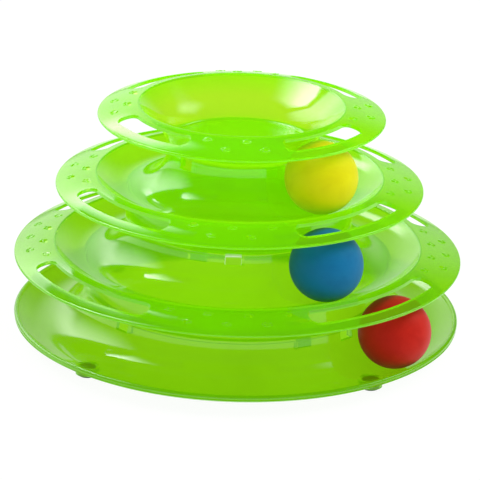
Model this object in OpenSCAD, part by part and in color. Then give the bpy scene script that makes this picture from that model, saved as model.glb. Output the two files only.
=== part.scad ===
// Ball track tower: a round tray and three rings that twist together, each with a track for one ball.
// The origin is on the floor under the tower's axis. Azimuths count from the front (-Y) towards +X.

/* [Tower] */
// Outer diameter of the tray and of the widest ring
overall_d = 250; // [235:1:280]
// Step in radius from each ring to the next one up
tier_step = 22.7; // [21:0.1:24.5]
// Wall thickness of the moulded shells
wall = 2; // [1.6:0.1:2.3]
// Height of the tray's track above the floor
tray_floor_z = 6; // [5.6:0.1:9]

/* [Balls] */
// Diameter of each ball
ball_d = 40; // [37:0.5:43]
// Gap under a ball
ball_gap = 0.3; // [0.3:0.1:0.8]
// Gap between a ball and the column beside it
side_gap = 1; // [0.6:0.1:2]
// Room over a ball, under the flange
headroom = 3.9; // [3:0.1:6]
// Where the red ball, on the tray, has stopped
red_azimuth = 54; // [0:0.5:359.5]
// Where the blue ball, on the lower ring, has stopped
blue_azimuth = 34.5; // [0:0.5:359.5]
// Where the yellow ball, on the middle ring, has stopped
yellow_azimuth = 45.5; // [0:0.5:359.5]

/* [Tracks and columns] */
// From a flange's outer edge in to the middle of the track below it
track_inset = 18; // [16:0.5:20]
// Height of a ring's crease above its track
bank_rise = 6.7; // [5.5:0.1:8]
// Height of the tray's rim above its track
tray_rim_rise = 5; // [4:0.1:6.5]
// Radius of the round bead along the tray's rim
rim_bead_r = 1.3; // [1.1:0.1:1.6]
// Height of the tray's column above its track
tray_rise = 21.2; // [20:0.1:24]
// Height of the lower ring's column above its track
lower_rise = 22.2; // [20:0.1:24]
// Height of the middle ring's column above its track
middle_rise = 23.1; // [20:0.1:24]

/* [Flanges] */
// Slope of a flange beside its crease, in degrees
crease_slope = 8; // [5:1:11]
// Slope of a flange beside its edge, in degrees
edge_slope = 21; // [17:1:25]
// Width of a slot in a flange
slot_w = 11.4; // [10.5:0.1:12]
// From the crease out to the middle of a slot
slot_inset = 10.4; // [10:0.1:10.8]
// Arc that a slot takes, in degrees
slot_arc = 46; // [38:1:54]
// Radius of a slot's corners
slot_corner_r = 5; // [3:0.5:5]
// Azimuth of the first slot's middle
slot_azimuth = 43; // [0:0.5:89.5]
// Slots in each flange
slot_count = 4; // [4:1:5]

/* [Twist locks] */
// Depth of a ring's lugs below its seam
spigot_l = 7; // [6.8:0.1:9]
// Width of a locking tab
tab_w = 8; // [6:0.5:10]
// Height of a locking tab
tab_h = 4; // [3:0.1:4.5]
// How far a tab or a bead stands out from its wall
tab_t = 1.3; // [1:0.1:1.6]
// Height of the bead inside a column's rim
bead_h = 2.2; // [1.6:0.1:2.6]
// Running gap round the locks
fit = 0.3; // [0.25:0.05:0.4]
// Width of a stop rib
stop_w = 1.5; // [1:0.1:2]
// Turn from locked to open, in degrees
twist = 18; // [17:1:24]
// Lugs on each ring, each with a tab
tab_count = 4; // [3:1:4]
// Azimuth of a notch in the tray's column
tray_notch_azimuth = 44.5; // [0:0.5:89.5]
// Azimuth of a notch in the lower ring's column
lower_notch_azimuth = -2; // [-45:0.5:44.5]
// Azimuth of a notch in the middle ring's column
middle_notch_azimuth = -47; // [-89.5:0.5:0]

/* [Feet] */
// Diameter of a rubber pad
pad_d = 9.6; // [8:0.1:10.5]
// How far a pad stands out of its boss
pad_out = 1.4; // [1:0.1:1.8]
// How deep a pad sits in its boss
pad_in = 2; // [1.5:0.1:2.5]
// Diameter of a moulded boss
boss_d = 13; // [12.5:0.1:15]
// From the middle of the track in to a foot's middle, or out if below zero
foot_inset = -1.5; // [-2:0.1:2]
// Azimuth of the first foot
foot_azimuth = 43; // [0:1:89]

/* [Hidden] */
$fn = 96;

shell_green = [0.45, 0.86, 0.1, 0.75];
foot_count = 4;
ball_r = ball_d / 2;
// Cuts run past the faces they open by this much
overrun = 1;
// Steps in each sampled arc of a profile
arc_steps = 9;
// Chamfer round the underside of a pad
pad_chamfer = pad_out / 3;
// Round between the bowl's wall and its floor
bowl_fillet = wall;

// The track hugs the ball on the column side and banks up to the crease or the rim on the other
bell_r = ball_r + side_gap;
bank_r = (track_inset * track_inset + bank_rise * bank_rise) / (2 * bank_rise);
tray_bank_run = track_inset - rim_bead_r;
tray_bank_r = (tray_bank_run * tray_bank_run + tray_rim_rise * tray_rim_rise) / (2 * tray_rim_rise);

// A flange is one arched face from its crease out to the full round of its edge
edge_round_r = wall / 2;
flange_run = tier_step - edge_round_r * (1 - sin(edge_slope));
flange_r = flange_run / (sin(edge_slope) - sin(crease_slope));
flange_drop = flange_r * (cos(crease_slope) - cos(edge_slope));
slope_over_ball = asin(sin(crease_slope) + (tier_step - track_inset) / flange_r);
drop_over_ball = flange_r * (cos(crease_slope) - cos(slope_over_ball));

tier_pitch = ball_d + ball_gap + headroom + wall + drop_over_ball - bank_rise;
rises = [tray_rise, lower_rise, middle_rise];
notch_azimuths = [tray_notch_azimuth, lower_notch_azimuth, middle_notch_azimuth];
bead_depth = tab_h + fit + bead_h;
notch_w = tab_w + 2 * fit;

// Tier 0 is the tray and the lower ring's flange over it, and so on up
function edge_r(tier) = overall_d / 2 - tier * tier_step;
function crease_r(tier) = edge_r(tier) - tier_step;
function track_r(tier) = edge_r(tier) - track_inset;
function column_r(tier) = track_r(tier) - bell_r;
function spigot_r(tier) = column_r(tier) - wall - tab_t - fit;
function track_z(tier) = tray_floor_z + tier * tier_pitch;
function rim_z(tier) = track_z(tier) + rises[tier];
function crease_z(tier) = track_z(tier + 1) + bank_rise;
function ball_z(tier) = track_z(tier) + ball_gap + ball_r;

// Points of an arc in the profile's plane
function arc(centre, r, from, to) =
    [for (k = [0:arc_steps]) let (a = from + (to - from) * k / arc_steps) centre + r * [cos(a), sin(a)]];

// Unit direction from one point to the next, and the mitred offset to its left at each point
function heading(a, b) = (b - a) / norm(b - a);
function leftward(d) = [-d[1], d[0]];
function mitre(a, b) = (a + b) / (1 + a * b);
function offset_point(path, k, t) =
    let (last = len(path) - 1,
         before = leftward(heading(path[max(k - 1, 0)], path[max(k, 1)])),
         after = leftward(heading(path[min(k, last - 1)], path[min(k + 1, last)])))
    path[k] + t * mitre(before, after);

// A wall of even thickness under a path that runs inwards from the edge
module shell_profile(path) {
    under = [for (k = [len(path) - 1:-1:0]) offset_point(path, k, wall)];
    polygon(concat(path, under));
}

// Flange from the round of its edge in to its crease
function flange_path(tier) =
    let (centre = [crease_r(tier), crease_z(tier)] - flange_r * [sin(crease_slope), cos(crease_slope)])
    arc(centre, flange_r, 90 - edge_slope, 90 - crease_slope);

// Bank down to the bottom of a track, from an outer point at the given run and bank radius
function bank_path(tier, run, r) =
    [for (p = arc([track_r(tier), track_z(tier) + r], r, 270 + asin(run / r), 270)) p];

// Bell up from the bottom of a track to the column's rim
function bell_path(tier) =
    let (lift = rises[tier],
         sweep = lift < bell_r ? acos(1 - lift / bell_r) : 90,
         curve = arc([track_r(tier), track_z(tier) + bell_r], bell_r, 270, 270 - sweep))
    concat([for (k = [1:len(curve) - 1]) curve[k]],
           lift > bell_r ? [[column_r(tier), rim_z(tier)]] : []);

// All but the first point of a path, which the path before it already has
function tail(path) = [for (k = [1:len(path) - 1]) path[k]];

// Places its children at an azimuth counted from the front
module at_azimuth(azimuth) {
    rotate([0, 0, azimuth - 90]) children();
}

// Repeats its children evenly round the axis
module round_about(count) {
    for (k = [0:count - 1]) rotate([0, 0, k * 360 / count]) children();
}

// Bead inside a column's rim, which the tabs below it catch under
module rim_bead_profile(tier) {
    translate([column_r(tier) - wall - tab_t, rim_z(tier) - bead_h]) square([tab_t + wall / 2, bead_h]);
}

// A block between two radii, as wide as asked at the inner one, centred on an azimuth
module curved_block(azimuth, inner_r, outer_r, width, low_z, high_z) {
    span = width / inner_r * 180 / PI;
    at_azimuth(azimuth - span / 2)
        rotate_extrude(angle = span)
            translate([inner_r, low_z]) square([outer_r - inner_r, high_z - low_z]);
}

// Where the notches let the tabs in
module notches(tier) {
    inner = column_r(tier) - wall - tab_t - overrun;
    at_azimuth(notch_azimuths[tier])
        round_about(tab_count)
            translate([inner, -notch_w / 2, rim_z(tier) - bead_depth])
                cube([column_r(tier) + overrun - inner, notch_w, bead_depth + overrun]);
}

// Two ribs for each tab: one stops it when locked, the other when it is under its notch
module stops(tier) {
    inner = column_r(tier) - wall - tab_t;
    outer = column_r(tier) - wall / 6;
    reach = (tab_w / 2 + fit + stop_w / 2) / spigot_r(tier) * 180 / PI;
    for (azimuth = [notch_azimuths[tier] - twist - reach, notch_azimuths[tier] + reach])
        round_about(tab_count)
            curved_block(azimuth, inner, outer, stop_w, rim_z(tier) - bead_depth, rim_z(tier) - bead_h / 2);
}

// Skirt and ledge that seat a ring on the column below it
module seat_profile(tier) {
    translate([column_r(tier) - wall, rim_z(tier)])
        square([wall, track_z(tier + 1) - wall / 2 - rim_z(tier)]);
    translate([spigot_r(tier) - wall, rim_z(tier)])
        square([column_r(tier) - spigot_r(tier) + wall, wall]);
}

// Lugs that hang inside the column below, each with its locking tab, where they lie when locked
module lugs(tier) {
    inner = spigot_r(tier) - wall;
    span = tab_w / (spigot_r(tier) - wall / 2) * 180 / PI;
    high = rim_z(tier) - bead_h - fit;
    round_about(tab_count)
        at_azimuth(notch_azimuths[tier] - twist - span / 2)
            rotate_extrude(angle = span) {
                translate([inner, rim_z(tier) - spigot_l]) square([wall, spigot_l + wall / 2]);
                translate([inner, high - tab_h]) square([wall + tab_t, tab_h]);
            }
}

// Part of a ring between two radii, up to an angle on either side of its middle
module sector(inner, outer, half) {
    difference() {
        intersection() {
            circle(outer);
            polygon([[0, 0], 2 * outer * [cos(half), -sin(half)], 2 * outer * [cos(half), sin(half)]]);
        }
        circle(inner);
    }
}

// A slot seen from above: radial ends and rounded corners
module slot_outline(low, high) {
    half = slot_arc / 2;
    sector(low + slot_corner_r, high - slot_corner_r, half);
    for (r = [low + slot_corner_r, high - slot_corner_r]) {
        pull = asin(slot_corner_r / r);
        sector(r - slot_corner_r, r + slot_corner_r, half - pull);
        for (turn = [pull - half, half - pull])
            rotate(turn) translate([r, 0]) circle(slot_corner_r);
    }
}

// Cuts the slots through a flange
module slots(tier) {
    middle = crease_r(tier) + slot_inset;
    low_z = crease_z(tier) - flange_drop - wall - overrun;
    at_azimuth(slot_azimuth)
        round_about(slot_count)
            translate([0, 0, low_z])
                linear_extrude(crease_z(tier) + overrun - low_z)
                    slot_outline(middle - slot_w / 2, middle + slot_w / 2);
}

// Full round of a flange's edge
module edge_round(tier) {
    translate([edge_r(tier) - edge_round_r, flange_path(tier)[0][1] - edge_round_r * cos(edge_slope)])
        circle(edge_round_r);
}

// A ring: flange, bank, track and column above, seat below
module ring(tier) {
    path = concat(flange_path(tier), tail(bank_path(tier + 1, track_inset, bank_r)), bell_path(tier + 1));
    color(shell_green) {
        difference() {
            rotate_extrude() {
                shell_profile(path);
                edge_round(tier);
                rim_bead_profile(tier + 1);
                seat_profile(tier);
            }
            slots(tier);
            notches(tier + 1);
        }
        stops(tier + 1);
        lugs(tier);
    }
}

module base_tray() {
    path = concat(bank_path(0, tray_bank_run, tray_bank_r), bell_path(0));
    foot_r = track_r(0) - foot_inset;
    color(shell_green) {
        difference() {
            union() {
                rotate_extrude() {
                    shell_profile(path);
                    translate([edge_r(0) - rim_bead_r, path[0][1]]) circle(rim_bead_r);
                    rim_bead_profile(0);
                }
                at_azimuth(foot_azimuth)
                    round_about(foot_count)
                        translate([foot_r, 0, pad_out])
                            cylinder(d = boss_d, h = tray_floor_z - wall / 4 - pad_out);
            }
            notches(0);
            at_azimuth(foot_azimuth)
                round_about(foot_count)
                    translate([foot_r, 0, pad_out - overrun])
                        cylinder(d = pad_d + 2 * fit, h = pad_in + overrun);
        }
        stops(0);
    }
}

module lower_ring() { ring(0); }

module middle_ring() { ring(1); }

// The top ring's bowl follows the ball below it, then rounds into a flat floor over the column
module top_ring() {
    tier = 2;
    ball_centre = [track_r(tier), ball_z(tier)];
    inner_r = bell_r + wall;
    floor_z = rim_z(tier) + wall;
    to_crease = [crease_r(tier), crease_z(tier)] - ball_centre;
    touch = atan2(to_crease[1], -to_crease[0]) - acos(inner_r / norm(to_crease));
    floor_touch = asin((floor_z + bowl_fillet - ball_z(tier)) / (inner_r + bowl_fillet));
    fillet_centre = ball_centre + (inner_r + bowl_fillet) * [-cos(floor_touch), sin(floor_touch)];
    path = concat(flange_path(tier), arc(ball_centre, inner_r, 180 - touch, 180 - floor_touch));
    fillet = arc(fillet_centre, bowl_fillet, -floor_touch, -90);
    under = [for (k = [len(path) - 1:-1:0]) offset_point(path, k, wall)];
    color(shell_green) {
        difference() {
            rotate_extrude() {
                polygon(concat(path, tail(fillet), [[0, floor_z], [0, rim_z(tier)]],
                               [[column_r(tier), rim_z(tier)]], under));
                edge_round(tier);
            }
            slots(tier);
        }
        lugs(tier);
    }
}

// Rubber pad, seated against the roof of its recess
module foot(azimuth) {
    color([0.07, 0.08, 0.07])
        at_azimuth(azimuth)
            translate([track_r(0) - foot_inset, 0, 0]) {
                cylinder(d1 = pad_d - 2 * pad_chamfer, d2 = pad_d, h = pad_chamfer);
                translate([0, 0, pad_chamfer]) cylinder(d = pad_d, h = pad_out + pad_in - pad_chamfer);
            }
}

module foot_front_right() { foot(foot_azimuth); }

module foot_back_right() { foot(foot_azimuth + 360 / foot_count); }

module foot_back_left() { foot(foot_azimuth + 2 * 360 / foot_count); }

module foot_front_left() { foot(foot_azimuth + 3 * 360 / foot_count); }

module ball(tier, azimuth) {
    at_azimuth(azimuth) translate([track_r(tier), 0, ball_z(tier)]) sphere(r = ball_r);
}

module red_ball() { color([0.86, 0.16, 0.12]) ball(0, red_azimuth); }

module blue_ball() { color([0.13, 0.45, 0.72]) ball(1, blue_azimuth); }

module yellow_ball() { color([0.95, 0.92, 0.1]) ball(2, yellow_azimuth); }

base_tray();
foot_front_right();
foot_back_right();
foot_back_left();
foot_front_left();
lower_ring();
middle_ring();
top_ring();
red_ball();
blue_ball();
yellow_ball();
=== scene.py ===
import math

import bpy
from mathutils import Matrix, Vector


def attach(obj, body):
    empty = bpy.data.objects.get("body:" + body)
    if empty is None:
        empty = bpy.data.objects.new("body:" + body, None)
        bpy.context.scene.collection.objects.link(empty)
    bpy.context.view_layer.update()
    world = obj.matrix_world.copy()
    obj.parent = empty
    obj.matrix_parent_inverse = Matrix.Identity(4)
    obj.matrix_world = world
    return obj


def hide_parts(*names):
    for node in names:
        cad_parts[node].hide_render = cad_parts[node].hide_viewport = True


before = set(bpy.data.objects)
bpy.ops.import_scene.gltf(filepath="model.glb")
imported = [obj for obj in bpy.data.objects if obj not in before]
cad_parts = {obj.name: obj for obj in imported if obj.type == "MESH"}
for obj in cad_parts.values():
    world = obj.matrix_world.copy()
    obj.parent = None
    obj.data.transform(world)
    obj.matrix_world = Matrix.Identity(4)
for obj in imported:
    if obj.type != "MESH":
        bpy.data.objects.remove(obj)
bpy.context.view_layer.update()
mm = 0.001
# Points closer than this in metres are merged, and faces are shaded smooth up to this angle in degrees
mergeWithin = 1e-6
smoothAngle = 32

# Camera, solved from the ellipses of the flanges and tracks
cameraView = {
    "distance": 1.6,
    "elevation": 20.36,
    "roll": 1.8,
    "aimHeight": 0.057,
    "lens": 214.29,
    "shift": (0.0039, -0.0130),
    "clip": (0.05, 20),
}

# Measures of the whole tower in millimetres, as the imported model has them.
# Ring 0 is the lower ring; its flange is over the tray and its track is tier 1.
tower = {
    "edgeRadius": 125.0,
    "creaseRadius": (102.3, 79.6, 56.9),
    "creaseHeight": (52.974, 93.249, 133.523),
    "trackRadius": (107.0, 84.3, 61.6),
    "trackHeight": (6.0, 46.274, 86.549),
    "columnRadius": (86.0, 63.3, 40.6),
    "seamHeight": (27.2, 68.474, 109.649),
    "lugRadius": (82.4, 59.7, 37.0),
    "ballHeight": (26.3, 66.574, 106.849),
    "notchAzimuth": (44.5, -2.0, -47.0),
    "bellRadius": 21.0,
    "wall": 2.0,
    "creaseRound": 1.0,
    "rimRounds": (0.6, 0.4, 0.4),
    "seatRounds": (0.8, 0.5, 0.5, 0.6),
    "cornerGap": 0.3,
    "overrun": 1.0,
    "spinSteps": 240,
}


def clearSelection():
    if bpy.context.object and bpy.context.object.mode != "OBJECT":
        bpy.ops.object.mode_set(mode="OBJECT")
    bpy.ops.object.select_all(action="DESELECT")


def makeActive(piece):
    clearSelection()
    piece.select_set(True)
    bpy.context.view_layer.objects.active = piece


# Points on an arc between two angles, no further apart than a spacing or a turn in degrees
def arcPoints(centre, radius, start, end, spacing=1.3, turn=10):
    sweep = abs(end - start)
    steps = max(3, math.ceil(math.radians(sweep) * radius / spacing), math.ceil(sweep / turn))
    angles = [math.radians(start + (end - start) * i / steps) for i in range(steps + 1)]
    return [(centre[0] + radius * math.cos(a), centre[1] + radius * math.sin(a)) for a in angles]


# The same path moved to its left by a distance, mitred at each point
def offsetPath(path, distance):
    headings = []
    for (x0, z0), (x1, z1) in zip(path, path[1:]):
        length = math.hypot(x1 - x0, z1 - z0)
        headings.append(((x1 - x0) / length, (z1 - z0) / length))
    moved = []
    for i, (x, z) in enumerate(path):
        before = headings[max(i - 1, 0)]
        after = headings[min(i, len(headings) - 1)]
        scale = distance / (1 + before[0] * after[0] + before[1] * after[1])
        moved.append((x - (before[1] + after[1]) * scale, z + (before[0] + after[0]) * scale))
    return moved


# Replaces the corner nearest to a point with a small curve
def roundCorner(points, corner, radius, steps=4, share=0.45):
    n = len(points)
    i = min(range(n), key=lambda k: math.dist(points[k], corner))
    before, here, after = points[i - 1], points[i], points[(i + 1) % n]
    a = [(before[k] - here[k]) / math.dist(before, here) for k in (0, 1)]
    b = [(after[k] - here[k]) / math.dist(after, here) for k in (0, 1)]
    cosine = max(-1.0, min(1.0, a[0] * b[0] + a[1] * b[1]))
    reach = radius / math.tan(math.acos(cosine) / 2)
    reach = min(reach, share * math.dist(before, here), share * math.dist(after, here))
    curve = []
    for k in range(steps + 1):
        t = k / steps
        wa, wb = (1 - t) ** 2 * reach, t ** 2 * reach
        curve.append((here[0] + a[0] * wa + b[0] * wb, here[1] + a[1] * wa + b[1] * wb))
    return points[:i] + curve + points[i + 1:]


# A line of vertices in the XZ plane, extruded from one vertex
def drawProfile(name, points):
    clearSelection()
    x, z = points[0]
    bpy.ops.mesh.primitive_plane_add(size=mm, location=(x * mm, 0, z * mm))
    piece = bpy.context.object
    piece.name = name
    bpy.ops.object.transform_apply(location=True)
    bpy.ops.object.mode_set(mode="EDIT")
    bpy.ops.mesh.select_all(action="SELECT")
    bpy.ops.mesh.merge(type="CENTER")
    for (x0, z0), (x1, z1) in zip(points, points[1:]):
        step = ((x1 - x0) * mm, 0, (z1 - z0) * mm)
        bpy.ops.mesh.extrude_region_move(TRANSFORM_OT_translate={"value": step})
    return piece


# A closed or axis-to-axis profile spun all the way round
def turnedShell(name, points):
    piece = drawProfile(name, points)
    bpy.ops.mesh.select_all(action="SELECT")
    bpy.ops.mesh.remove_doubles(threshold=mergeWithin)
    bpy.ops.mesh.spin(steps=tower["spinSteps"], angle=2 * math.pi, center=(0, 0, 0), axis=(0, 0, 1))
    bpy.ops.mesh.select_all(action="SELECT")
    bpy.ops.mesh.remove_doubles(threshold=mergeWithin)
    bpy.ops.mesh.normals_make_consistent(inside=False)
    bpy.ops.object.mode_set(mode="OBJECT")
    return piece


# A block with a rectangular section, spun through an angle that is centred on +X
def curvedBlock(name, inner, outer, low, high, angle, steps):
    corners = [(inner, low), (outer, low), (outer, high), (inner, high), (inner, low)]
    piece = drawProfile(name, corners)
    bpy.ops.mesh.select_all(action="SELECT")
    bpy.ops.mesh.remove_doubles(threshold=mergeWithin)
    bpy.ops.mesh.edge_face_add()
    bpy.ops.mesh.spin(steps=steps, angle=math.radians(angle), center=(0, 0, 0), axis=(0, 0, 1))
    bpy.ops.mesh.select_all(action="SELECT")
    bpy.ops.mesh.remove_doubles(threshold=mergeWithin)
    bpy.ops.mesh.normals_make_consistent(inside=False)
    bpy.ops.object.mode_set(mode="OBJECT")
    spun = max((v.co.to_2d().normalized() for v in piece.data.vertices), key=lambda d: abs(d.y))
    piece.rotation_euler.z = -math.atan2(spun.y, spun.x) / 2
    bpy.ops.object.transform_apply(rotation=True)
    return piece


# Copies of a piece that lies on +X, turned to azimuths counted from the front, as one object
def aroundAxis(piece, azimuths):
    copies = []
    for azimuth in azimuths:
        copy = piece.copy()
        copy.data = piece.data.copy()
        bpy.context.collection.objects.link(copy)
        copy.rotation_euler.z = math.radians(azimuth - 90)
        copies.append(copy)
    bpy.data.objects.remove(piece)
    makeActive(copies[0])
    for copy in copies:
        copy.select_set(True)
    bpy.ops.object.transform_apply(rotation=True)
    if len(copies) > 1:
        bpy.ops.object.join()
    return bpy.context.object


def combine(piece, tool, operation):
    makeActive(piece)
    modifier = piece.modifiers.new("combine", "BOOLEAN")
    modifier.operation = operation
    modifier.solver = "EXACT"
    modifier.object = tool
    bpy.ops.object.modifier_apply(modifier=modifier.name)
    bpy.data.objects.remove(tool)


def quarters(azimuth):
    return [azimuth + 90 * k for k in range(4)]


flange = {
    "creaseSlope": 8.0,
    "edgeSlope": 21.0,
    "archRadius": 100.634,
    "edgeRound": 1.0,
    "slotInner": 4.7,
    "slotOuter": 16.1,
    "slotArc": 46.0,
    "slotAzimuth": 43.0,
    "slotCorner": 5.0,
    "slotToolHeight": 14.0,
    "slotToolRise": 3.0,
    "edgeSpacing": 0.3,
}


# Top face of a flange, from the round of its edge in to the crease
def flangeArc(ring):
    slope = math.radians(flange["creaseSlope"])
    centre = (tower["creaseRadius"][ring] - flange["archRadius"] * math.sin(slope),
              tower["creaseHeight"][ring] - flange["archRadius"] * math.cos(slope))
    return arcPoints(centre, flange["archRadius"], 90 - flange["edgeSlope"], 90 - flange["creaseSlope"])


def flangeEdge(ring):
    start = flangeArc(ring)[0]
    slope = math.radians(flange["edgeSlope"])
    r = flange["edgeRound"]
    centre = (start[0] - r * math.sin(slope), start[1] - r * math.cos(slope))
    return arcPoints(centre, r, -90 - flange["edgeSlope"], 90 - flange["edgeSlope"],
                     spacing=flange["edgeSpacing"])


# Plan of a slot that is centred on +X: two arcs about the axis, joined by rounded ends
def slotOutline(inner, outer):
    half, corner = flange["slotArc"] / 2, flange["slotCorner"]
    near = half - math.degrees(math.asin(corner / (inner + corner)))
    far = half - math.degrees(math.asin(corner / (outer - corner)))
    outline = []
    for radius, turn, start, end in ((inner + corner, -near, 180 - near, 270 - half),
                                     (outer - corner, -far, -90 - half, -far), (0, 0, -far, far),
                                     (outer - corner, far, far, half + 90),
                                     (inner + corner, near, half + 90, near + 180), (0, 0, near, -near)):
        centre = (radius * math.cos(math.radians(turn)), radius * math.sin(math.radians(turn)))
        reach = corner if radius else (outer if end > start else inner)
        outline += arcPoints(centre, reach, start, end)[:-1]
    return outline


def cutSlots(piece, ring):
    crease, high = tower["creaseRadius"][ring], tower["creaseHeight"][ring]
    outline = slotOutline(crease + flange["slotInner"], crease + flange["slotOuter"])
    tool = drawProfile("slotTool", outline + outline[:1])
    bpy.ops.mesh.select_all(action="SELECT")
    bpy.ops.mesh.remove_doubles(threshold=mergeWithin)
    bpy.ops.mesh.edge_face_add()
    depth = (0, flange["slotToolHeight"] * mm, 0)
    bpy.ops.mesh.extrude_region_move(TRANSFORM_OT_translate={"value": depth})
    bpy.ops.mesh.select_all(action="SELECT")
    bpy.ops.mesh.normals_make_consistent(inside=False)
    bpy.ops.object.mode_set(mode="OBJECT")
    tool.rotation_euler.x = math.pi / 2
    tool.location.z = (high + flange["slotToolRise"] - flange["slotToolHeight"]) * mm
    bpy.ops.object.transform_apply(location=True, rotation=True)
    combine(piece, aroundAxis(tool, quarters(flange["slotAzimuth"])), "DIFFERENCE")


# A small paw print, raised a little from the flange: pad and toes as place and half size in millimetres
pawPrint = {
    "blobs": ((0, -0.9, 1.75, 1.3), (-2.2, 0.8, 0.62, 0.9), (-0.8, 1.8, 0.62, 0.95),
              (0.8, 1.8, 0.62, 0.95), (2.2, 0.8, 0.62, 0.9)),
    "segments": 16,
    "rings": 8,
    "height": 0.4,
    "rows": ((6.2, -70.0), (14.0, -110.0)),
    "spacing": 10.5,
    "count": (7, 5, 4),
}


# Prints in two rows between the slots, as a cat would leave them on its way round
def addPawPrints(piece, ring):
    arch, slope = flange["archRadius"], math.radians(flange["creaseSlope"])
    crease = tower["creaseRadius"][ring]
    middle = (crease - arch * math.sin(slope), tower["creaseHeight"][ring] - arch * math.cos(slope))
    rows = []
    for row, (out, heading) in enumerate(pawPrint["rows"]):
        clearSelection()
        blobs = []
        for x, y, wide, long in pawPrint["blobs"]:
            bpy.ops.mesh.primitive_uv_sphere_add(segments=pawPrint["segments"], ring_count=pawPrint["rings"],
                                                 radius=mm, location=(x * mm, y * mm, 0))
            blob = bpy.context.object
            blob.scale = (wide, long, pawPrint["height"])
            blobs.append(blob)
        makeActive(blobs[0])
        for blob in blobs:
            blob.select_set(True)
        bpy.ops.object.transform_apply(location=True, scale=True)
        bpy.ops.object.join()
        paw = bpy.context.object
        lean = math.asin((crease + out - middle[0]) / arch)
        place = Matrix.Translation(((crease + out) * mm, 0, (middle[1] + arch * math.cos(lean)) * mm))
        turned = Matrix.Rotation(lean, 4, "Y") @ Matrix.Rotation(math.radians(heading), 4, "Z")
        paw.matrix_world = place @ turned
        bpy.ops.object.transform_apply(location=True, rotation=True)
        step = math.degrees(pawPrint["spacing"] / (crease + out))
        count = pawPrint["count"][ring]
        turns = [step * (i - (count - 1) / 2) for i in range(row, count, 2)]
        bare = [azimuth + 45 for azimuth in quarters(flange["slotAzimuth"])]
        rows.append(aroundAxis(paw, [azimuth + turn for azimuth in bare for turn in turns]))
    for row in rows:
        combine(piece, row, "UNION")


lock = {
    "lugLength": 7.0,
    "tabWidth": 8.0,
    "tabHeight": 4.0,
    "standOut": 1.3,
    "beadHeight": 2.2,
    "play": 0.3,
    "stopWidth": 1.5,
    "steps": 4,
    "stopSteps": 2,
    "twist": 18.0,
}


# Angle in degrees of a width along a circle
def arcFor(width, radius):
    return math.degrees(width / radius)


# Inside of a column's rim, from its outer top corner to below the bead
def rimCorners(tier):
    outer, seam = tower["columnRadius"][tier], tower["seamHeight"][tier]
    inner = outer - tower["wall"]
    bead = inner - lock["standOut"]
    low = seam - lock["beadHeight"]
    return [(outer, seam), (bead, seam), (bead, low), (inner, low)]


def roundRim(points, tier):
    corners = rimCorners(tier)
    for corner, radius in zip(corners, tower["rimRounds"]):
        points = roundCorner(points, corner, radius)
    return points


# Inside a column's rim: four pairs of stop ribs, and four notches through the bead for the tabs
def addRimLocks(piece, tier):
    seam, inner = tower["seamHeight"][tier], tower["columnRadius"][tier] - tower["wall"]
    low = seam - lock["tabHeight"] - lock["play"] - lock["beadHeight"]
    width = lock["tabWidth"] + 2 * lock["play"]
    azimuth = tower["notchAzimuth"][tier]
    ribs = []
    reach = arcFor(width / 2 + lock["stopWidth"] / 2, tower["lugRadius"][tier])
    rib = curvedBlock("rib", inner - lock["standOut"], inner + tower["wall"] * 5 / 6, low,
                      seam - lock["beadHeight"] / 2, arcFor(lock["stopWidth"], inner), lock["stopSteps"])
    for turn in (azimuth - lock["twist"] - reach, azimuth + reach):
        ribs += quarters(turn)
    combine(piece, aroundAxis(rib, ribs), "UNION")
    notch = curvedBlock("notch", inner - lock["standOut"] - tower["overrun"],
                        inner + tower["wall"] + tower["overrun"], low, seam + tower["overrun"],
                        arcFor(width, inner), lock["steps"])
    combine(piece, aroundAxis(notch, quarters(azimuth)), "DIFFERENCE")


# Lugs under a ring's ledge, each an arm with its locking tab
def addLugs(piece, tier):
    outer, wall, seam = tower["lugRadius"][tier], tower["wall"], tower["seamHeight"][tier]
    inner, low = outer - wall, seam - lock["lugLength"]
    high = seam - lock["beadHeight"] - lock["play"]
    angle = arcFor(lock["tabWidth"], outer - wall / 2)
    azimuth = tower["notchAzimuth"][tier] - lock["twist"]
    arm = curvedBlock("arm", inner + lock["play"] / 2, outer, low, seam + wall / 2, angle, lock["steps"])
    tab = curvedBlock("tab", outer - wall / 2, outer + lock["standOut"], high - lock["tabHeight"], high,
                      angle, lock["steps"])
    for lug in (arm, tab):
        combine(piece, aroundAxis(lug, quarters(azimuth)), "UNION")


# Underneath of a ring: skirt and ledge
def seatCorners(tier):
    outer, seam, wall = tower["columnRadius"][tier], tower["seamHeight"][tier], tower["wall"]
    inner = tower["lugRadius"][tier] - wall
    return [(outer - wall, seam + wall), (inner, seam + wall), (inner, seam), (outer, seam)]


# The column's foot, from the track's floor up to where the column stands upright
def bellArc(tier):
    centre = (tower["trackRadius"][tier], tower["trackHeight"][tier] + tower["bellRadius"])
    return arcPoints(centre, tower["bellRadius"], 270, 180)


bank = {
    "radius": 27.531,
    "run": 18.0,
    "trayRadius": 30.389,
    "trayRun": 16.7,
    "beadRadius": 1.3,
    "beadSpacing": 0.4,
    "skirtStep": 0.05,
}


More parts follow.
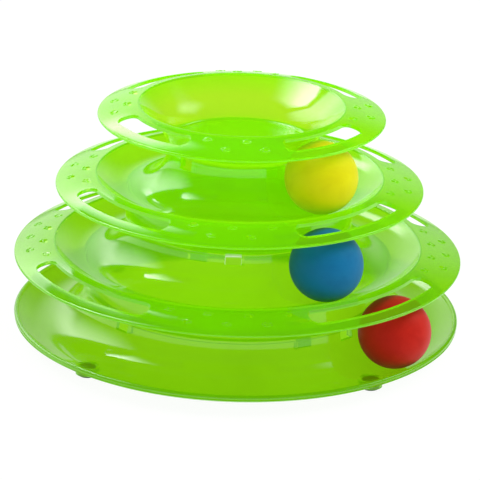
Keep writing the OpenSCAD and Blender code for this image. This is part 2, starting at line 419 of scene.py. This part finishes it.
# A ring with a track: flange, banked wall, track and column above, skirt, ledge and lugs below
def makeRing(name, ring):
    tier = ring + 1
    gap = tower["cornerGap"]
    track = (tower["trackRadius"][tier], tower["trackHeight"][tier])
    start = 270 + math.degrees(math.asin(bank["run"] / bank["radius"]))
    top = flangeArc(ring)
    top += arcPoints((track[0], track[1] + bank["radius"]), bank["radius"], start, 270)[1:]
    top += bellArc(tier)[1:] + [(tower["columnRadius"][tier], tower["seamHeight"][tier])]
    under = offsetPath(top, tower["wall"])
    skirt = tower["columnRadius"][ring]
    inside = [p for p in under[::-1] if p[0] < skirt - tower["wall"] - gap
              and p[1] < rimCorners(tier)[3][1] - gap]
    outside = [p for p in under[::-1] if p[0] > skirt + gap]
    floor = track[1] - tower["wall"]
    loop = flangeEdge(ring)[:-1] + top[:-1] + rimCorners(tier) + inside
    loop += [(skirt - tower["wall"], floor)] + seatCorners(ring)
    loop += [(skirt, floor + bank["skirtStep"])] + outside[:-1]
    crease = (tower["creaseRadius"][ring], tower["creaseHeight"][ring])
    loop = roundCorner(loop, crease, tower["creaseRound"])
    loop = roundRim(loop, tier)
    for corner, radius in zip(seatCorners(ring), tower["seatRounds"]):
        loop = roundCorner(loop, corner, radius)
    piece = turnedShell(name, loop + loop[:1])
    addLugs(piece, ring)
    addRimLocks(piece, tier)
    cutSlots(piece, ring)
    addPawPrints(piece, ring)
    return piece


bowl = {"fillet": 2.0, "floorPoints": (24, 12, 0)}


# The top ring: a flange round a closed bowl, whose wall is an arc about the middle of the yellow ball.
# A straight line from the crease meets the arc at one angle, and the floor's fillet at another.
def makeTopRing(name):
    ring = 2
    centre = (tower["trackRadius"][ring], tower["ballHeight"][ring])
    wall, fillet = tower["wall"], bowl["fillet"]
    inner = tower["bellRadius"] + wall
    seam = tower["seamHeight"][ring]
    floor = seam + wall
    crease = (tower["creaseRadius"][ring], tower["creaseHeight"][ring])
    across, up = centre[0] - crease[0], crease[1] - centre[1]
    touch = math.degrees(math.atan2(up, across) - math.acos(inner / math.hypot(across, up)))
    floorTouch = math.degrees(math.asin((floor + fillet - centre[1]) / (inner + fillet)))
    turn = math.radians(180 - floorTouch)
    filletCentre = (centre[0] + (inner + fillet) * math.cos(turn),
                    centre[1] + (inner + fillet) * math.sin(turn))
    top = flangeArc(ring) + arcPoints(centre, inner, 180 - touch, 180 - floorTouch)
    under = offsetPath(top, wall)
    disc = [(x, floor) for x in bowl["floorPoints"]] + [(x, seam) for x in bowl["floorPoints"][::-1]]
    path = flangeEdge(ring)[:-1] + top + arcPoints(filletCentre, fillet, -floorTouch, -90)[1:]
    rim = (tower["columnRadius"][ring], seam)
    path += disc + [rim] + under[::-1][:-1]
    path = roundCorner(path, crease, tower["creaseRound"])
    path = roundCorner(path, rim, tower["seatRounds"][-1])
    piece = turnedShell(name, path + path[:1])
    addLugs(piece, ring)
    cutSlots(piece, ring)
    addPawPrints(piece, ring)
    return piece


# A pad's underside is a shallow ring, given as shares of its radius and heights. Its edge is given as
# steps in from its radius and heights.
feet = {
    "circle": 108.5,
    "azimuth": 43.0,
    "padWidth": 9.6,
    "standOut": 1.4,
    "depth": 2.0,
    "bossWidth": 13.0,
    "play": 0.3,
    "steps": 48,
    "underside": ((0, 0.25), (0.45, 0.2), (0.62, 0), (0.88, 0)),
    "edge": ((0.15, 0.2), (0, 0.55)),
    "topChamfer": 0.3,
}


# A cylinder on the feet's circle at +X, between two heights
def uprightDisc(radius, bottom, high):
    clearSelection()
    place = (feet["circle"] * mm, 0, (high + bottom) / 2 * mm)
    bpy.ops.mesh.primitive_cylinder_add(vertices=feet["steps"], radius=radius * mm,
                                        depth=(high - bottom) * mm, location=place)
    disc = bpy.context.object
    bpy.ops.object.transform_apply(location=True)
    return disc


# The tray: rim bead, banked wall, track, column, and four bosses that hold the pads
def makeTray(name):
    wall = tower["wall"]
    track = (tower["trackRadius"][0], tower["trackHeight"][0])
    slope = math.degrees(math.asin(bank["trayRun"] / bank["trayRadius"]))
    top = arcPoints((track[0], track[1] + bank["trayRadius"]), bank["trayRadius"], 270 + slope, 270)
    top += bellArc(0)[1:] + [(tower["columnRadius"][0], tower["seamHeight"][0])]
    under = offsetPath(top, wall)
    bead = arcPoints(top[0], bank["beadRadius"], slope - 90, slope + 180, spacing=bank["beadSpacing"])
    inside = [p for p in under[::-1] if p[1] < rimCorners(0)[3][1] - tower["cornerGap"]]
    start = [p for p in top if math.dist(p, top[0]) > bank["beadRadius"] + tower["cornerGap"]]
    loop = bead + start[:-1] + rimCorners(0) + inside
    loop = roundRim(loop, 0)
    piece = turnedShell(name, loop + loop[:1])
    bottom = feet["standOut"]
    boss = uprightDisc(feet["bossWidth"] / 2, bottom, track[1] - wall / 4)
    combine(piece, aroundAxis(boss, quarters(feet["azimuth"])), "UNION")
    recess = uprightDisc(feet["padWidth"] / 2 + feet["play"], -tower["overrun"], bottom + feet["depth"])
    combine(piece, aroundAxis(recess, quarters(feet["azimuth"])), "DIFFERENCE")
    addRimLocks(piece, 0)
    return piece


def makeFoot(name, azimuth):
    r, high = feet["padWidth"] / 2, feet["standOut"] + feet["depth"]
    chamfer = feet["topChamfer"]
    profile = [(r * share, height) for share, height in feet["underside"]]
    profile += [(r - step, height) for step, height in feet["edge"]]
    profile += [(r, high - chamfer), (r - chamfer, high), (0, high)]
    piece = drawProfile(name, profile)
    bpy.ops.mesh.select_all(action="SELECT")
    bpy.ops.mesh.spin(steps=feet["steps"], angle=2 * math.pi, center=(0, 0, 0), axis=(0, 0, 1))
    bpy.ops.mesh.select_all(action="SELECT")
    bpy.ops.mesh.remove_doubles(threshold=mergeWithin)
    bpy.ops.mesh.normals_make_consistent(inside=False)
    bpy.ops.object.mode_set(mode="OBJECT")
    piece.location.x = feet["circle"] * mm
    bpy.ops.object.transform_apply(location=True)
    piece = aroundAxis(piece, [azimuth])
    piece.name = name
    return piece


# Azimuths of the red, blue and yellow ball, off the front
balls = {
    "radius": 20.0,
    "azimuths": (54.0, 34.5, 45.5),
    "subdivisions": 6,
}


def makeBall(name, tier, azimuth):
    turn = math.radians(azimuth)
    centre = (tower["trackRadius"][tier] * math.sin(turn), -tower["trackRadius"][tier] * math.cos(turn),
              tower["ballHeight"][tier])
    clearSelection()
    bpy.ops.mesh.primitive_ico_sphere_add(subdivisions=balls["subdivisions"], radius=balls["radius"] * mm,
                                          location=[c * mm for c in centre])
    piece = bpy.context.object
    piece.name = name
    bpy.ops.object.transform_apply(location=True)
    bpy.ops.object.shade_smooth()
    return piece


# Materials
def addNode(tree, kind, location, **values):
    node = tree.nodes.new(kind)
    node.location = location
    for key, value in values.items():
        if hasattr(node, key):
            setattr(node, key, value)
        else:
            node.inputs[key].default_value = value
    return node


def newMaterial(name):
    material = bpy.data.materials.new(name)
    material.use_nodes = True
    tree = material.node_tree
    return material, tree, tree.nodes["Principled BSDF"]


def addMath(tree, operation, first, second, location):
    node = addNode(tree, "ShaderNodeMath", location, operation=operation)
    for socket, value in zip(node.inputs, (first, second)):
        if isinstance(value, bpy.types.NodeSocket):
            tree.links.new(value, socket)
        else:
            socket.default_value = value
    return node.outputs[0]


def addRange(tree, value, ends, results, location, kind="LINEAR"):
    node = addNode(tree, "ShaderNodeMapRange", location, interpolation_type=kind)
    for title, number in zip(("From Min", "From Max", "To Min", "To Max"), (*ends, *results)):
        node.inputs[title].default_value = number
    tree.links.new(value, node.inputs["Value"])
    return node.outputs[0]


def addBlend(tree, share, first, second, location):
    node = addNode(tree, "ShaderNodeMix", location, data_type="RGBA")
    colours = [socket for socket in node.inputs if socket.type == "RGBA"]
    for socket, value in zip(colours, (first, second)):
        if isinstance(value, bpy.types.NodeSocket):
            tree.links.new(value, socket)
        else:
            socket.default_value = value
    tree.links.new(share, [socket for socket in node.inputs if socket.type == "VALUE"][0])
    return [socket for socket in node.outputs if socket.type == "RGBA"][0]


# Noise values between which a patch goes from fresh to rubbed
patchEnds = (0.42, 0.68)


# Grain is the fine texture of a moulded face, and Wear is a mask of broad patches that are rubbed duller
def makeSkinGroup():
    group = bpy.data.node_groups.new("mouldedSkin", "ShaderNodeTree")
    for title in ("Grains per Metre", "Patches per Metre"):
        group.interface.new_socket(title, in_out="INPUT", socket_type="NodeSocketFloat")
    for title in ("Grain", "Wear"):
        group.interface.new_socket(title, in_out="OUTPUT", socket_type="NodeSocketFloat")
    entry = addNode(group, "NodeGroupInput", (-800, 0))
    place = addNode(group, "ShaderNodeTexCoord", (-800, 300))
    leave = addNode(group, "NodeGroupOutput", (200, 0))
    grain = addNode(group, "ShaderNodeTexNoise", (-500, 200), Detail=2.0, Roughness=0.55)
    patch = addNode(group, "ShaderNodeTexNoise", (-500, -100), Detail=4.0, Roughness=0.6, Distortion=0.4)
    for noise, title in ((grain, "Grains per Metre"), (patch, "Patches per Metre")):
        group.links.new(place.outputs["Object"], noise.inputs["Vector"])
        group.links.new(entry.outputs[title], noise.inputs["Scale"])
    wear = addRange(group, patch.outputs[0], patchEnds, (0, 1), (-250, -100), "SMOOTHSTEP")
    group.links.new(grain.outputs[0], leave.inputs["Grain"])
    group.links.new(wear, leave.inputs["Wear"])
    return group


skin = makeSkinGroup()


# Places the skin group, drives the roughness with its wear and the normal with its grain
def addSkin(tree, shader, setting):
    node = addNode(tree, "ShaderNodeGroup", (-900, -300), node_tree=skin)
    node.inputs["Grains per Metre"].default_value = setting["grains"]
    node.inputs["Patches per Metre"].default_value = setting["patches"]
    rough = addRange(tree, node.outputs["Wear"], (0, 1), setting["roughness"], (-500, -200))
    tree.links.new(rough, shader.inputs["Roughness"])
    bump = addNode(tree, "ShaderNodeBump", (-300, -400), Strength=setting["bump"],
                   Distance=setting["depth"] * mm)
    tree.links.new(node.outputs["Grain"], bump.inputs["Height"])
    tree.links.new(bump.outputs["Normal"], shader.inputs["Normal"])
    return node


greenPlastic = {
    # Tints of one plastic whose differences are painted light: upright, on the flanges, and in the bowl
    "upright": (0.28, 0.63, 0.006, 1),
    "flat": (0.237, 0.64, 0.006, 1),
    "bowl": (0.37, 0.57, 0.02, 1),
    # A painted glow in the plastic's emission, which lifts its shade
    "glow": (0.4, 1.0, 0.0, 1),
    "paintedGlowStrength": 0.15,
    "worn": 0.93,
    # Painted shade low down and painted light high up: the colour is scaled from the bottom, full at the
    # height below
    "lowPaintedShade": 0.76,
    "highPaintedLight": 1.15,
    "highAt": 0.112,
    "transmission": 0.78,
    "ior": 1.49,
    "creaseBlend": 6.0,
    "skin": {"grains": 140, "patches": 22, "roughness": (0.07, 0.12), "bump": 0.1, "depth": 0.05},
}


# Clear fluorescent plastic, with painted light in its colour: a yellower green where it stands upright, a
# purer one on the flanges, and a paler one in the bowl for the light through its single wall. It is painted
# darker low down, for the shade under the flanges, and lighter high up, for the light from above. Its
# emission is a painted glow that lifts the shade, and it is scaled with height in the same way
def makeGreen():
    material, tree, shader = newMaterial("clearGreenPlastic")
    # Painted light: the tint changes from the columns to the flanges and into the bowl
    share = addNode(tree, "ShaderNodeAttribute", (-1100, 300), attribute_name="flangeShare")
    tint = addBlend(tree, share.outputs["Fac"], greenPlastic["upright"], greenPlastic["flat"], (-1000, 300))
    share = addNode(tree, "ShaderNodeAttribute", (-1100, 550), attribute_name="bowlShare")
    tint = addBlend(tree, share.outputs["Fac"], tint, greenPlastic["bowl"], (-900, 400))
    place = addNode(tree, "ShaderNodeTexCoord", (-1300, 50))
    split = addNode(tree, "ShaderNodeSeparateXYZ", (-1100, 50))
    tree.links.new(place.outputs["Object"], split.inputs[0])
    # Painted shade low down and painted light high up, on the tint and on the glow
    paintedLightLevels = (greenPlastic["lowPaintedShade"], greenPlastic["highPaintedLight"])
    paintedLightLevel = addRange(tree, split.outputs["Z"], (0, greenPlastic["highAt"]), paintedLightLevels, (-900, 50))
    node = addSkin(tree, shader, greenPlastic["skin"])
    paintedLightTint = addNode(tree, "ShaderNodeHueSaturation", (-700, 250))
    worn = addNode(tree, "ShaderNodeHueSaturation", (-500, 150), Value=greenPlastic["worn"])
    glow = addNode(tree, "ShaderNodeHueSaturation", (-500, -50), Color=greenPlastic["glow"])
    tree.links.new(tint, paintedLightTint.inputs["Color"])
    tree.links.new(paintedLightLevel, paintedLightTint.inputs["Value"])
    tree.links.new(paintedLightLevel, glow.inputs["Value"])
    tree.links.new(paintedLightTint.outputs[0], worn.inputs["Color"])
    base = addBlend(tree, node.outputs["Wear"], paintedLightTint.outputs[0], worn.outputs[0], (-250, 200))
    tree.links.new(base, shader.inputs["Base Color"])
    # The emission is a painted glow that lifts the shade
    tree.links.new(glow.outputs[0], shader.inputs["Emission Color"])
    shader.inputs["Emission Strength"].default_value = greenPlastic["paintedGlowStrength"]
    shader.inputs["IOR"].default_value = greenPlastic["ior"]
    shader.inputs["Transmission Weight"].default_value = greenPlastic["transmission"]
    return material


# Stores a value for each point, eased from 0 to 1, which the material reads
def addMarks(piece, title, shares):
    marks = piece.data.attributes.new(title, "FLOAT", "POINT")
    for mark, share in zip(marks.data, shares):
        share = min(1, max(0, share))
        mark.value = share * share * (3 - 2 * share)


# How far each point of a ring is out on its flange, from 0 inside the crease to 1
def markFlange(piece, crease):
    blend = greenPlastic["creaseBlend"]
    reaches = [vertex.co.to_2d().length / mm for vertex in piece.data.vertices]
    addMarks(piece, "flangeShare", [(reach - crease + blend) / (2 * blend) for reach in reaches])


# How far each point is up the bowl's wall and inside its crease
def markBowl(piece):
    crease, low, blend = tower["creaseRadius"][2], tower["seamHeight"][2], greenPlastic["creaseBlend"]
    points = [(vertex.co.to_2d().length / mm, vertex.co.z / mm) for vertex in piece.data.vertices]
    addMarks(piece, "bowlShare", [min((z - low) / blend, (crease - reach) / blend) for reach, z in points])


ballSkin = {"grains": 900, "patches": 60, "roughness": (0.5, 0.62), "bump": 0.25, "depth": 0.12}
rubberSkin = {"grains": 1500, "patches": 150, "roughness": (0.55, 0.75), "bump": 0.4, "depth": 0.1}
matte = {
    "redBall": {"colour": (0.65, 0.014, 0.004, 1), "worn": (0.59, 0.011, 0.003, 1), "specular": 0.15,
                "sheen": 0.1, "skin": ballSkin},
    "blueBall": {"colour": (0.002, 0.19, 0.42, 1), "worn": (0.002, 0.17, 0.385, 1), "specular": 0.15,
                 "sheen": 0.1, "skin": ballSkin},
    "yellowBall": {"colour": (0.92, 0.88, 0.0, 1), "worn": (0.86, 0.81, 0.0, 1), "specular": 0.12,
                   "sheen": 0.05, "skin": ballSkin},
    "blackRubber": {"colour": (0.022, 0.03, 0.022, 1), "worn": (0.05, 0.055, 0.05, 1), "specular": 0.4,
                    "sheen": 0.0, "skin": rubberSkin},
}


def makeMatte(name):
    setting = matte[name]
    material, tree, shader = newMaterial(name)
    node = addSkin(tree, shader, setting["skin"])
    tint = addBlend(tree, node.outputs["Wear"], setting["colour"], setting["worn"], (-300, 200))
    tree.links.new(tint, shader.inputs["Base Color"])
    shader.inputs["Specular IOR Level"].default_value = setting["specular"]
    shader.inputs["Sheen Weight"].default_value = setting["sheen"]
    return material


def finishPiece(piece, body, node, material):
    piece.data.materials.clear()
    piece.data.materials.append(material)
    makeActive(piece)
    bpy.ops.object.shade_smooth_by_angle(angle=math.radians(smoothAngle))
    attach(piece, body)
    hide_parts(node)


def finishShell(piece, body, node, crease):
    markFlange(piece, crease)
    finishPiece(piece, body, node, green)
    print(node, "made")


green = makeGreen()
rubber = makeMatte("blackRubber")
ballPlastics = [makeMatte(colour + "Ball") for colour in ("red", "blue", "yellow")]
print("materials made")

# The tray has no flange, so its crease is put out of reach
noFlange = 2 * tower["edgeRadius"]
finishShell(makeTray("trayShell"), "base", "base_tray", noFlange)
for ring, place in enumerate(("lower", "middle")):
    shell = makeRing(place + "RingShell", ring)
    finishShell(shell, place + "_ring", place + "_ring", tower["creaseRadius"][ring])
shell = makeTopRing("topRingShell")
markBowl(shell)
finishShell(shell, "top_ring", "top_ring", tower["creaseRadius"][2])
corners = ("front_right", "back_right", "back_left", "front_left")
for place, azimuth in zip(corners, quarters(feet["azimuth"])):
    finishPiece(makeFoot("pad_" + place, azimuth), "base", "foot_" + place, rubber)
for tier, colour in enumerate(("red", "blue", "yellow")):
    ball = makeBall(colour + "Ball", tier, balls["azimuths"][tier])
    finishPiece(ball, colour + "_ball", colour + "_ball", ballPlastics[tier])
print("feet and balls made")

studio = {
    "aim": (0, 0, 0.07),
    "white": (1, 1, 1, 1),
    "floorSize": 8.0,
    "floorColour": (0.9, 0.9, 0.9, 1),
    "floorSeen": 0.9,
    "floorThrough": 0.3,
    "floorMirrored": 0.9,
    "floorGlow": 1.05,
    "underTower": (0.26, 0.66, 0.01, 1),
    "underCentre": (0, -0.025, 0),
    "underFade": (0.086, 0.098),
    "worldSeen": 1.0,
    "worldMirrored": 0.03,
    "worldSoft": 0.56,
    "boxEdge": 0.501,
}


# A floor that is white to the camera and in reflections and takes a faint shadow. Under the tower, seen
# through the notches, it is green from the light that comes down through the plastic.
def makeFloor():
    clearSelection()
    bpy.ops.mesh.primitive_plane_add(size=studio["floorSize"], location=(0, 0, 0))
    floor = bpy.context.object
    floor.name = "floor"
    material = bpy.data.materials.new("paleFloor")
    material.use_nodes = True
    tree = material.node_tree
    tree.nodes.clear()
    path = addNode(tree, "ShaderNodeLightPath", (-800, 300))
    seen = addMath(tree, "MULTIPLY", path.outputs["Is Camera Ray"], studio["floorSeen"], (-600, 400))
    through = addMath(tree, "MULTIPLY", path.outputs["Is Transmission Ray"], studio["floorThrough"],
                      (-600, 250))
    mirrored = addMath(tree, "MULTIPLY", path.outputs["Is Glossy Ray"], studio["floorMirrored"],
                       (-600, 100))
    bounced = addMath(tree, "MAXIMUM", through, mirrored, (-400, 200))
    share = addMath(tree, "MAXIMUM", seen, bounced, (-200, 300))
    diffuse = addNode(tree, "ShaderNodeBsdfDiffuse", (-200, 0), Color=studio["floorColour"])
    place = addNode(tree, "ShaderNodeTexCoord", (-1200, -200))
    shift = addNode(tree, "ShaderNodeVectorMath", (-1000, -200), operation="ADD")
    shift.inputs[1].default_value = studio["underCentre"]
    reach = addNode(tree, "ShaderNodeVectorMath", (-800, -200), operation="LENGTH")
    tree.links.new(place.outputs["Object"], shift.inputs[0])
    tree.links.new(shift.outputs[0], reach.inputs[0])
    under = addRange(tree, reach.outputs["Value"], studio["underFade"], (1, 0), (-600, -200))
    under = addMath(tree, "MULTIPLY", under, path.outputs["Is Camera Ray"], (-450, -200))
    colour = addBlend(tree, under, studio["white"], studio["underTower"], (-350, -200))
    glow = addNode(tree, "ShaderNodeEmission", (-200, -150), Strength=studio["floorGlow"])
    tree.links.new(colour, glow.inputs["Color"])
    mix = addNode(tree, "ShaderNodeMixShader", (0, 0))
    output = addNode(tree, "ShaderNodeOutputMaterial", (200, 0))
    tree.links.new(share, mix.inputs[0])
    tree.links.new(diffuse.outputs[0], mix.inputs[1])
    tree.links.new(glow.outputs[0], mix.inputs[2])
    tree.links.new(mix.outputs[0], output.inputs[0])
    floor.data.materials.append(material)


# White behind the object and through it, soft on matte faces and almost dark in reflections
def makeWorld():
    world = bpy.data.worlds.new("studioWorld")
    bpy.context.scene.world = world
    world.use_nodes = True
    tree = world.node_tree
    tree.nodes.clear()
    path = addNode(tree, "ShaderNodeLightPath", (-800, 300))
    soft = studio["worldSoft"]
    seen = addMath(tree, "MAXIMUM", path.outputs["Is Camera Ray"], path.outputs["Is Transmission Ray"],
                   (-600, 300))
    white = addMath(tree, "MULTIPLY", seen, studio["worldSeen"] - soft, (-400, 300))
    dark = addMath(tree, "MULTIPLY", path.outputs["Is Glossy Ray"], studio["worldMirrored"] - soft,
                   (-400, 100))
    change = addMath(tree, "ADD", white, dark, (-200, 200))
    strength = addMath(tree, "ADD", change, soft, (0, 200))
    background = addNode(tree, "ShaderNodeBackground", (200, 0), Color=studio["white"])
    output = addNode(tree, "ShaderNodeOutputWorld", (400, 0))
    tree.links.new(strength, background.inputs["Strength"])
    tree.links.new(background.outputs[0], output.inputs[0])


# Turns a lamp or a soft box to face the tower, from an azimuth off the front and an elevation
def aimAtTower(thing, setting):
    azimuth, elevation = math.radians(setting["azimuth"]), math.radians(setting["elevation"])
    away = Vector((math.sin(azimuth) * math.cos(elevation), -math.cos(azimuth) * math.cos(elevation),
                   math.sin(elevation)))
    thing.location = Vector(studio["aim"]) + away * setting["distance"]
    thing.rotation_euler = away.to_track_quat("Z", "Y").to_euler()


def spreadAt(setting):
    return [2 * setting["distance"] * math.tan(math.radians(angle / 2)) for angle in setting["spread"]]


# Lamps that light matte faces and don't show in reflections
lamps = {
    "rightLamp": {"azimuth": 85, "elevation": 42, "distance": 1.2, "spread": (40, 40), "strength": 2.6},
    "leftLamp": {"azimuth": -110, "elevation": 45, "distance": 1.2, "spread": (40, 30), "strength": 2.7},
}


def makeLamp(name, setting):
    data = bpy.data.lights.new(name, "AREA")
    data.shape = "RECTANGLE"
    data.size, data.size_y = spreadAt(setting)
    data.energy = setting["strength"] * math.pi * data.size * data.size_y
    lamp = bpy.data.objects.new(name, data)
    bpy.context.collection.objects.link(lamp)
    aimAtTower(lamp, setting)
    lamp.visible_camera = lamp.visible_glossy = lamp.visible_transmission = False


# Soft boxes that show only as reflections, and that hide nothing behind them. Their spread is in degrees,
# and their fades are the shares of the size over which the left, right, low and high edge go from dark
# to full.
softBoxes = {
    "leftBox": {"azimuth": -120, "elevation": 18, "distance": 1.2, "spread": (86, 42), "strength": 4.2,
                "fades": (0.45, 0.42, 0.9, 0.05)},
    "leftHigh": {"azimuth": -105, "elevation": 58, "distance": 1.2, "spread": (40, 30), "strength": 13.0,
                 "fades": (0.06, 0.75, 0.08, 0.8)},
    "backStrip": {"azimuth": -158, "elevation": 40, "distance": 1.2, "spread": (16, 34), "strength": 6.0,
                  "fades": (0.3, 0.4, 0.4, 0.4)},
    "rightBox": {"azimuth": 98, "elevation": 38, "distance": 1.2, "spread": (48, 36), "strength": 3.2,
                 "fades": (0.4, 0.4, 0.4, 0.5)},
    "lowLeft": {"azimuth": -161, "elevation": 17, "distance": 2.0, "spread": (48, 38), "strength": 1.2,
                "fades": (0.5, 0.3, 0.2, 0.3)},
    "lowRight": {"azimuth": 169, "elevation": 14, "distance": 2.0, "spread": (50, 34), "strength": 0.55,
                 "fades": (0.5, 0.3, 0.2, 0.5)},
}


def makeSoftBox(name, setting):
    clearSelection()
    bpy.ops.mesh.primitive_plane_add(size=1)
    box = bpy.context.object
    box.name = name
    wide, tall = spreadAt(setting)
    box.scale = (wide, tall, 1)
    bpy.ops.object.transform_apply(scale=True)
    aimAtTower(box, setting)
    material = bpy.data.materials.new(name)
    material.use_nodes = True
    tree = material.node_tree
    tree.nodes.clear()
    place = addNode(tree, "ShaderNodeTexCoord", (-900, 0))
    split = addNode(tree, "ShaderNodeSeparateXYZ", (-700, 0))
    tree.links.new(place.outputs["Object"], split.inputs[0])
    strength = setting["strength"]
    edges = (("X", -wide), ("X", wide), ("Y", -tall), ("Y", tall))
    for i, ((axis, size), fade) in enumerate(zip(edges, setting["fades"])):
        ends = (studio["boxEdge"] * size, (0.5 - fade) * size)
        share = addRange(tree, split.outputs[axis], ends, (0, 1), (-500, 300 - 200 * i), "SMOOTHSTEP")
        strength = addMath(tree, "MULTIPLY", share, strength, (-300, 300 - 200 * i))
    glow = addNode(tree, "ShaderNodeEmission", (-100, 0), Color=studio["white"])
    clear = addNode(tree, "ShaderNodeBsdfTransparent", (-100, -150))
    both = addNode(tree, "ShaderNodeAddShader", (50, 0))
    output = addNode(tree, "ShaderNodeOutputMaterial", (200, 0))
    tree.links.new(strength, glow.inputs["Strength"])
    tree.links.new(glow.outputs[0], both.inputs[0])
    tree.links.new(clear.outputs[0], both.inputs[1])
    tree.links.new(both.outputs[0], output.inputs[0])
    box.data.materials.append(material)
    box.visible_camera = box.visible_diffuse = box.visible_transmission = box.visible_shadow = False


def makeCamera():
    data = bpy.data.cameras.new("camera")
    data.lens = cameraView["lens"]
    data.shift_x, data.shift_y = cameraView["shift"]
    data.clip_start, data.clip_end = cameraView["clip"]
    camera = bpy.data.objects.new("camera", data)
    bpy.context.collection.objects.link(camera)
    elevation, reach = math.radians(cameraView["elevation"]), cameraView["distance"]
    camera.location = (0, -reach * math.cos(elevation),
                       cameraView["aimHeight"] + reach * math.sin(elevation))
    tilt = Matrix.Rotation(math.pi / 2 - elevation, 3, "X")
    roll = Matrix.Rotation(math.radians(cameraView["roll"]), 3, "Z")
    camera.rotation_euler = (tilt @ roll).to_euler()
    bpy.context.scene.camera = camera


makeFloor()
makeWorld()
for lampName, lampSetting in lamps.items():
    makeLamp(lampName, lampSetting)
for boxName, boxSetting in softBoxes.items():
    makeSoftBox(boxName, boxSetting)
makeCamera()
bpy.context.scene.view_settings.view_transform = "Standard"
print("studio made")
